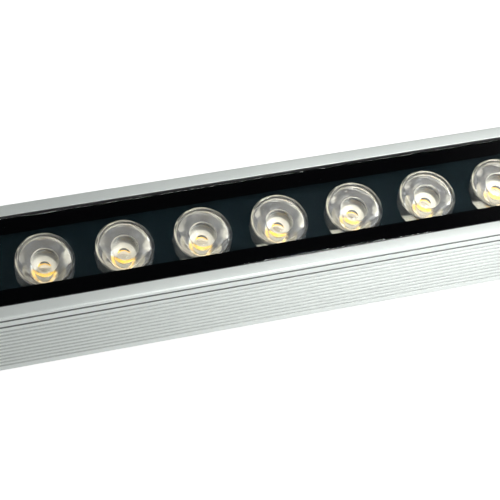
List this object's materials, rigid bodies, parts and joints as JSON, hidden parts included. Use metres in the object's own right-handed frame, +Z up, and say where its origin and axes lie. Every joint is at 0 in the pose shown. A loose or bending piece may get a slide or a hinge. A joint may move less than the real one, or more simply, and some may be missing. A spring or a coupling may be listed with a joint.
{
  "type": "outdoor wall washer light",
  "caption": "Linear outdoor wall washer light: square fluted aluminium bar with a glass front, a row of round LED lenses, end glands and two tilting slotted brackets.",
  "frame": {"origin": "on the ground plane under the middle of the light, where the two feet stand", "axes": "+X along the bar towards the right end, +Y across the bar, +Z up, out of the glass front"},
  "size_m": [0.5346, 0.076, 0.086],
  "materials": {
    "anodised_aluminium": "satin",
    "clear_glass": "polished",
    "black_print": "satin",
    "silicone": "matte",
    "black_plate": "satin",
    "milky_plastic": "satin",
    "lens_plastic": "polished",
    "phosphor": "satin",
    "board_white": "satin",
    "stainless_steel": "satin",
    "board_green": "satin",
    "ferrite": "matte",
    "wire_insulation": "satin",
    "capacitor_sleeve": "satin",
    "chip_black": "matte",
    "terminal_grey": "satin",
    "nickel_brass": "satin",
    "friction_plastic": "matte"
  },
  "bodies": {
    "housing": {"housing_extrusion": "anodised_aluminium", "front_glass": "clear_glass", "glass_border_print": "black_print", "glass_sealant": "silicone", "lens_face_plate": "black_plate", "lens_holders": "milky_plastic", "tir_lenses": "lens_plastic", "led_emitters": "phosphor", "led_board": "board_white", "board_screws": "stainless_steel", "driver_board": "board_green", "driver_transformer": "ferrite", "wiring_loom": "wire_insulation", "driver_capacitors": "capacitor_sleeve", "driver_inductors": "ferrite", "driver_chips": "chip_black", "terminal_blocks": "terminal_grey", "end_gasket_left": "silicone", "end_gasket_right": "silicone", "end_cap_left": "anodised_aluminium", "end_cap_right": "anodised_aluminium", "end_cap_screws": "stainless_steel", "gland_washers": "silicone", "gland_bodies": "nickel_brass", "gland_seals": "silicone", "gland_nuts": "nickel_brass"},
    "bracket_left": {"slot_nut_left": "stainless_steel", "clamp_screw_left": "stainless_steel", "clamp_washer_left": "stainless_steel", "yoke_left": "stainless_steel", "pivot_screws_left": "stainless_steel", "pivot_nuts_left": "stainless_steel", "outer_washers_left": "stainless_steel", "friction_washers_left": "friction_plastic"},
    "foot_left": {"foot_left": "stainless_steel"},
    "bracket_right": {"slot_nut_right": "stainless_steel", "clamp_screw_right": "stainless_steel", "clamp_washer_right": "stainless_steel", "yoke_right": "stainless_steel", "pivot_screws_right": "stainless_steel", "pivot_nuts_right": "stainless_steel", "outer_washers_right": "stainless_steel", "friction_washers_right": "friction_plastic"},
    "foot_right": {"foot_right": "stainless_steel"}
  },
  "joints": [
    {"name": "bracket_slide_left", "type": "slide", "parent": "housing", "child": "bracket_left", "axis": [1, 0, 0], "range_m": [-0.065, 0.125]},
    {"name": "bracket_slide_right", "type": "slide", "parent": "housing", "child": "bracket_right", "axis": [1, 0, 0], "range_m": [-0.125, 0.065]},
    {"name": "foot_tilt_left", "type": "hinge", "parent": "bracket_left", "child": "foot_left", "pos_m": [-0.15, 0, 0.027], "axis": [1, 0, 0], "range_deg": [-90, 90]},
    {"name": "foot_tilt_right", "type": "hinge", "parent": "bracket_right", "child": "foot_right", "pos_m": [0.15, 0, 0.027], "axis": [1, 0, 0], "range_deg": [-90, 90]}
  ]
}
